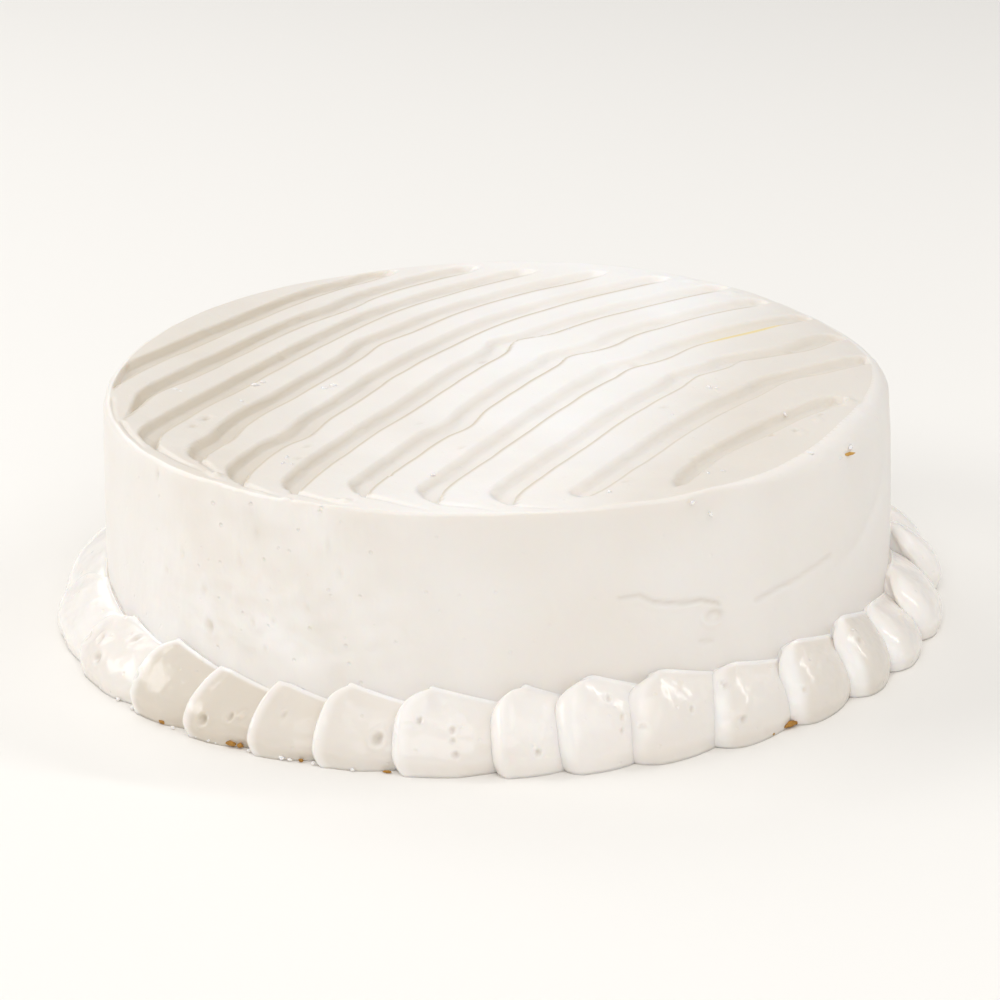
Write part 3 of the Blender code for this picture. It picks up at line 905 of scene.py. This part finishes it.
def shell_surface(shell, number):
    """Points, faces and painted tint and shade of one pad, on a grid of place along the wall and
    turn over its face.

    The head begins at an edge that leans back as the square of the distance from its foremost
    level. There the section swells through a quarter turn from inside the pad before it to its
    full size, the roll, while the height of a wide roll changes less. The face then runs on,
    drawing in and sinking to its tail. The back is sunk in the coat, and both ends close on their
    own middle.
    """
    start, width, height, reach, lean, roll_width, skew = shell
    share_out, share_up = (part[None, :] for part in shell_section())
    above = np.clip((share_up - EDGE_LEVEL) / (1.0 - EDGE_LEVEL), 0.0, 1.0)
    under = np.clip((EDGE_LEVEL - share_up) / EDGE_LEVEL, 0.0, 1.0)
    edge = lean * above**EDGE_CURVE + EDGE_HEEL * under**HEEL_CURVE
    roll = 0.001 * roll_width / (width * (RIM_RADIUS + 0.7 * reach))
    narrow = ROLL_WIDTH / roll_width
    turn = (0.5 * math.pi * np.linspace(0.0, 1.0, ROLL_LINES))[:, None]
    face = np.linspace(0.0, 1.0, FACE_LINES + 1)[1:, None]
    place = np.concatenate(
        [edge + roll * (1.0 - np.cos(turn)), edge + roll + (SHELL_TAIL - edge - roll) * face]
    )
    swell = np.concatenate([ROLL_DEEP + (1.0 - ROLL_DEEP) * np.sin(turn), np.ones_like(face)])
    swell = swell * (1.0 + EDGE_BEAD * narrow**2 * bell(place - edge - roll, BEAD_WIDTH))
    rise = np.clip(1.0 - place / SHELL_PEAK, 0.0, None)
    fall = np.clip((place - SHELL_PEAK) / (1.0 - SHELL_PEAK), 0.0, None)
    out = reach * swell * share_out * (1.0 - HEAD_DRAW_IN * rise**2 - TAIL_DRAW_IN * fall**2)
    z = height * (1.0 - (1.0 - swell) * narrow**1.5) * share_up * (1.0 - TAIL_DROP * fall)
    out = out * (1.0 - FOOT_TUCK * (1.0 - smooth(share_up / 0.3)))
    z = z + LIP_RISE * bell(share_out - LIP_PLACE_OUT, LIP_WIDTH) * smooth((place - edge) / 0.25)
    angle = start + width * (place - skew * (share_out - 0.5))
    space = np.stack([RIM_RADIUS * angle, out, z], axis=-1)
    lumps = 0.00025 * narrow**1.5 * uneven(space, 100 + number, 0.030, 0.009)
    lumps += 0.00004 * uneven(space, 200 + number, 0.006, 0.0025)
    free = smooth(out / 0.004)
    pits = dents_round(angle, z, SHELL_PITS)
    lumps -= pits
    radius = wall_radius(angle, z) + out + lumps * free
    z = np.maximum(z + 0.5 * lumps * free * smooth(share_up * 2.0 - 0.4), 0.0)
    down = np.linspace(1.0, 0.0, SHELL_BACK)[None, :]
    behind_z = z[:, -1:] * down
    behind_angle = angle[:, -1:] * down + angle[:, :1] * (1.0 - down)
    behind_radius = wall_radius(behind_angle, behind_z) - WALL_SINK
    radius = np.concatenate([radius, behind_radius], axis=1)
    angle = np.concatenate([angle, behind_angle], axis=1)
    z = np.concatenate([z, behind_z], axis=1)
    points = round_axis(radius, angle, z)
    lines, around = radius.shape
    index = np.arange(lines * around).reshape(lines, around)
    beside = np.roll(index, -1, axis=1)
    quads = np.stack([index[:-1], beside[:-1], beside[1:], index[1:]], axis=-1).reshape(-1, 4)
    ends = np.stack([points[0].mean(axis=0), points[-1].mean(axis=0)])
    middle = np.full(around, lines * around)
    head = np.stack([beside[0], index[0], middle], axis=-1)
    caps = np.concatenate([head, np.stack([index[-1], beside[-1], middle + 1], axis=-1)])
    points = np.concatenate([points.reshape(-1, 3), ends])
    # The rolled edge and the top lip are kept out of the tint and stay white as painted highlights; pits
    # take painted shade
    amount = FACE_TINT_AND_SHADE.get(number, 0.15) * smooth((place - edge - narrow * roll) / 0.14)
    amount = amount * smooth((share_out - 0.07) / 0.07) + np.clip(pits / 0.0010, 0.0, 0.6)
    amount = np.concatenate([amount, np.zeros((lines, SHELL_BACK))], axis=1)
    face_tint_and_shade = np.concatenate([amount.reshape(-1), np.zeros(2)])
    return points, [quads, caps], face_tint_and_shade


PIPED_WHITE = "#f8f4f0"
PIPED_WARM = "#f1e9e1"
piped_finish = whipped_cream("whipped_cream_piped", PIPED_WHITE, PIPED_WARM, 110.0, 0.17, 3.1)
for number, shell in enumerate(shell_plan(), start=1):
    points, faces, face_tint_and_shade = shell_surface(shell, number)
    values = {"tint_and_shade": face_tint_and_shade, "pitted": np.full(len(points), 0.35)}
    label = f"piped_cream_{number:02d}"
    mesh = make_mesh(label, points, faces, values)
    place_piece(label, mesh, piped_finish, "piped_cream", f"piped_shell_{number:02d}")

# Sponge crumbs
#
# Bits of golden sponge that the comb and the piping dragged out: three lie on the top and the
# others stick out from under the border's foot.
CRUMB_GOLD = "#c8912f"
CRUMB_BROWN = "#8a6238"
PALE_GOLD = "#dcae5a"
PALE_BROWN = "#b98742"
# x, y and how far below the top, half length, half width and turn, in millimetres and degrees
TOP_CRUMBS = (
    (-83.5, -49, 2.5, 2.6, 1.1, 38), (57.2, -109.6, 2.5, 1.7, 0.9, 10),
    (112.9, -65.7, 5.3, 2, 0.55, 30),
)
CRUMB_TURNS = 20
CRUMB_RINGS = 12


def crumb_surface(x, y, z, half_length, half_width, turn, seed):
    """An uneven grain: a ball stretched to its half sizes, in millimetres, and roughened."""
    polar = np.linspace(0.0, math.pi, CRUMB_RINGS + 1)[:, None]
    round_about = (2.0 * math.pi * np.arange(CRUMB_TURNS) / CRUMB_TURNS)[None, :]
    ball = round_axis(np.sin(polar), round_about, np.cos(polar) + 0.0 * round_about)
    ball *= (1.0 + 0.14 * uneven(ball, seed, 2.0, 0.6, 10))[..., None]
    ball *= 0.001 * np.array([half_length, half_width, half_width])
    turning = math.radians(turn)
    px = ball[..., 0] * math.cos(turning) - ball[..., 1] * math.sin(turning) + x
    py = ball[..., 0] * math.sin(turning) + ball[..., 1] * math.cos(turning) + y
    points = np.stack([px, py, ball[..., 2] + z], axis=-1)
    index = np.arange(points.size // 3).reshape(points.shape[:2])
    index[0], index[-1] = index[0, 0], index[-1, 0]
    beside = np.roll(index, -1, axis=1)
    quads = np.stack([index[:-1], beside[:-1], beside[1:], index[1:]], axis=-1).reshape(-1, 4)
    return points.reshape(-1, 3), quads


def baked_sponge(name, light, dark):
    """Golden baked sponge, open and dull, its crust browner than its crumb."""

    def build(tree):
        place = node(tree, "ShaderNodeTexCoord", out="Object")
        pores = node(tree, "ShaderNodeTexNoise", {"Scale": 900.0, "Detail": 4.0}, Vector=place)
        pair = {"data_type": "RGBA", 6: linear(light), 7: linear(dark)}
        colour = node(tree, "ShaderNodeMix", pair, 2, _0=pores)
        normal = node(tree, "ShaderNodeBump", {"Strength": 0.8, "Distance": 0.0003}, Height=pores)
        sponge = {"Roughness": 0.7, "IOR": 1.45}
        return node(tree, "ShaderNodeBsdfPrincipled", sponge, Base_Color=colour, Normal=normal)

    return finished(name, build)


# Crumbs that show under the foot: angle, radius, half length, half width, in degrees and mm
FOOT_CRUMBS = (
    (-136.9, 148.2, 1.5, 0.7), (-125.3, 147.4, 1.9, 0.9), (-124, 146.9, 1.1, 0.8),
    (-119.3, 148.4, 1.1, 0.5), (-115.2, 147.3, 0.9, 0.5), (-104, 147.4, 1.4, 0.4),
    (-96.8, 148.2, 1, 0.5), (-58, 148, 1, 0.5), (-54.9, 147.4, 0.9, 0.6), (-51.6, 146, 2.6, 0.9),
    (-50.4, 145.7, 1.4, 0.9), (-35.3, 146.7, 1.4, 0.9),
)
# Grains of cream that the tip left along the foot on the left: angle, radius, half size
FOOT_GRAINS = (
    (-134.6, 148.6, 0.7), (-131.9, 148.9, 0.9), (-130.4, 148.7, 0.6), (-128.4, 148.6, 0.8),
    (-127.3, 148.2, 0.7), (-122.4, 148, 0.6), (-121, 148.8, 0.6), (-117.6, 148.5, 0.9),
    (-116.5, 148.4, 0.7), (-113.4, 148, 0.7), (-108.2, 148.6, 0.6), (-102, 148.4, 0.5),
    (-143, 148.2, 0.8), (-146.5, 148.3, 0.7), (-150.8, 148.4, 0.9),
)


def place_grains(name, grains, seed, material, slot):
    """One piece of many separate grains: x, y, z, half length, half width and turn each."""
    all_points, all_quads = [], []
    for number, grain in enumerate(grains):
        points, quads = crumb_surface(*grain, seed + number)
        all_quads.append(quads + number * len(points))
        all_points.append(points)
    mesh = make_mesh(name, np.concatenate(all_points), all_quads, {})
    place_piece(name, mesh, material, slot)


def at_foot(angle, radius, half_length, half_width):
    """A grain at an angle and radius, just clear of the table, lying along the foot."""
    turn = math.radians(angle)
    place = (0.001 * radius * math.cos(turn), 0.001 * radius * math.sin(turn), 0.0014 * half_width)
    return (*place, half_length, half_width, angle + 90.0)


sponge = baked_sponge("golden_baked_sponge", CRUMB_GOLD, CRUMB_BROWN)
pale_sponge = baked_sponge("pale_baked_sponge", PALE_GOLD, PALE_BROWN)
place_grains("foot_crumbs", [at_foot(*crumb) for crumb in FOOT_CRUMBS], 80, sponge, "sponge_crumb")
grains = [at_foot(angle, radius, half, 0.8 * half) for angle, radius, half in FOOT_GRAINS]
place_grains("foot_grains", grains, 120, piped_finish, "piped_cream")
for number, (x, y, below, half_length, half_width, turn) in enumerate(TOP_CRUMBS, start=1):
    x, y = 0.001 * x, 0.001 * y
    level = CAKE_HEIGHT + float(top_lift(x, y)) - 0.001 * below
    crumb = (x, y, level, half_length, half_width, turn)
    place_grains(f"top_crumb_{number}", [crumb], 60 + number, pale_sponge, "sponge_crumb")

# Flecks of cream
#
# Specks of the spread cream that the comb threw up, lying loose on the top and along the rim.
# Each is a small flattened grain with its own facets.
TOP_FLECKS = (
    (-106.7, -3.5, 0, 1.1, 0.6), (-105, -5.3, 0, 0.7, 0.5), (-80.2, 0, 0, 1.3, 0.6),
    (-77.8, 2.6, 0, 0.8, 0.6), (-57, -5.6, 0, 1.1, 0.6), (-54, -3, 0, 1.2, 0.7),
    (-84.1, -16.2, 0, 1, 0.5), (-66.6, -73.1, 0, 1.1, 0.6), (-67.6, -78.6, 0, 0.8, 0.6),
    (-65, -79.6, 0, 0.7, 0.5), (70.7, -15.8, 0.2, 1.1, 0.6), (73, -17, 0.2, 0.7, 0.5),
    (57.2, -42.1, 0.1, 0.9, 0.6), (94, -40.4, 0.9, 1, 0.5), (77, -47.3, 0.4, 0.9, 0.5),
    (70.8, -93.4, 0.2, 0.9, 0.5), (66, -95.4, 0.2, 0.8, 0.5), (34.5, -112.1, 0, 1, 0.6),
    (-20, -92, 0, 0.8, 0.5), (26, 47, 0, 1.2, 0.6), (52, 22, 0, 1, 0.5),
    (60.2, -116, 2.2, 1.1, 0.6), (65.9, -113.2, 7.2, 1.4, 0.5), (99.5, -77.6, 0.3, 1.1, 0.6),
    (113.5, -63, 4, 1.3, 0.6), (109.3, -69.4, 5.2, 1, 0.5),
)
flecks = []
for x, y, below, half_length, half_width in TOP_FLECKS:
    level = CAKE_HEIGHT + float(top_lift(0.001 * x, 0.001 * y)) - 0.001 * below
    level = min(level - 0.0001, TOP_LIMIT - 0.0015 * half_width)
    flecks.append((0.001 * x, 0.001 * y, level, 1.2 * half_length, half_width, 7.0 * x))
place_grains("cream_flecks", flecks, 150, piped_finish, "spread_cream")

# The table, the light and the camera
#
# A plain pale table top, a soft white tent all round, wide soft lights of which the left one is
# strongest, a narrow one from the upper right, and the camera in front, a little over the cake.
TABLE_COLOUR = "#f4f1ec"
TENT_COLOUR = "#ffffff"
TENT_STRENGTH = 0.42
LIGHT_AWAY = 1.5
TABLE_HALF = 3.0
corners = [(a * TABLE_HALF, b * TABLE_HALF, 0.0) for a, b in ((-1, -1), (1, -1), (1, 1), (-1, 1))]

table_mesh = bpy.data.meshes.new("table_top")
table_mesh.from_pydata(corners, [], [(0, 1, 2, 3)])
table_top = bpy.data.objects.new("table_top", table_mesh)
bpy.context.scene.collection.objects.link(table_top)
table_finish = bpy.data.materials.new("matt_pale_table")
table_finish.use_nodes = True
table_shader = table_finish.node_tree.nodes["Principled BSDF"]
table_shader.inputs["Base Color"].default_value = linear(TABLE_COLOUR)
table_shader.inputs["Roughness"].default_value = 0.8
table_mesh.materials.append(table_finish)

world = bpy.data.worlds.new("soft_tent")
world.use_nodes = True
tent = world.node_tree.nodes["Background"]
tent.inputs["Color"].default_value = linear(TENT_COLOUR)
tent.inputs["Strength"].default_value = TENT_STRENGTH
bpy.context.scene.world = world
bpy.context.scene.view_settings.view_transform = "Standard"


def soft_light(name, azimuth, elevation, width, height, watts, tilt=0.0):
    """A rectangular light aimed at the cake: azimuth, elevation and its own tilt in degrees."""
    light = bpy.data.lights.new(name, "AREA")
    light.shape = "RECTANGLE"
    light.size, light.size_y = width, height
    light.energy = watts
    turn, lift = math.radians(azimuth), math.radians(elevation)
    level = math.cos(lift)
    stand = Vector((math.cos(turn) * level, math.sin(turn) * level, math.sin(lift)))
    lamp = bpy.data.objects.new(name, light)
    lamp.location = stand * LIGHT_AWAY
    lamp.rotation_mode = "QUATERNION"
    own_turn = Quaternion((0.0, 0.0, 1.0), math.radians(tilt))
    lamp.rotation_quaternion = stand.to_track_quat("Z", "Y") @ own_turn
    bpy.context.scene.collection.objects.link(lamp)


soft_light("wide_light_left", 180.0, 32.0, 0.8, 0.7, 7.2)
soft_light("wide_light_front", -90.0, 30.0, 0.9, 0.7, 4.2)
soft_light("wide_light_right", -45.0, 45.0, 0.7, 0.7, 2.1)
soft_light("narrow_light_right", 13.0, 50.0, 0.75, 0.06, 3.2, 45.0)
soft_light("soft_light_back_right", 45.0, 40.0, 0.7, 0.7, 1.2)
soft_light("soft_light_back_left", 122.0, 40.0, 0.7, 0.7, 4.0)
soft_light("soft_light_above", -90.0, 68.0, 0.7, 0.7, 3.0)

CAMERA_PLACE = Vector((0.0, -1.315, 0.5243))
CAMERA_AIM = Vector((0.00085, 0.0, 0.03615))
CAMERA_ROLL = -0.0202
CAMERA_LENS = 149.44

camera_data = bpy.data.cameras.new("camera")
camera_data.lens = CAMERA_LENS
camera_data.sensor_width = 36.0
camera = bpy.data.objects.new("camera", camera_data)
look = (CAMERA_AIM - CAMERA_PLACE).normalized()
level_right = look.cross(Vector((0.0, 0.0, 1.0))).normalized()
level_up = level_right.cross(look)
right = math.cos(CAMERA_ROLL) * level_right + math.sin(CAMERA_ROLL) * level_up
up = math.cos(CAMERA_ROLL) * level_up - math.sin(CAMERA_ROLL) * level_right
turned = Matrix((right, up, -look)).transposed().to_4x4()
camera.matrix_world = Matrix.Translation(CAMERA_PLACE) @ turned
bpy.context.scene.collection.objects.link(camera)
bpy.context.scene.camera = camera
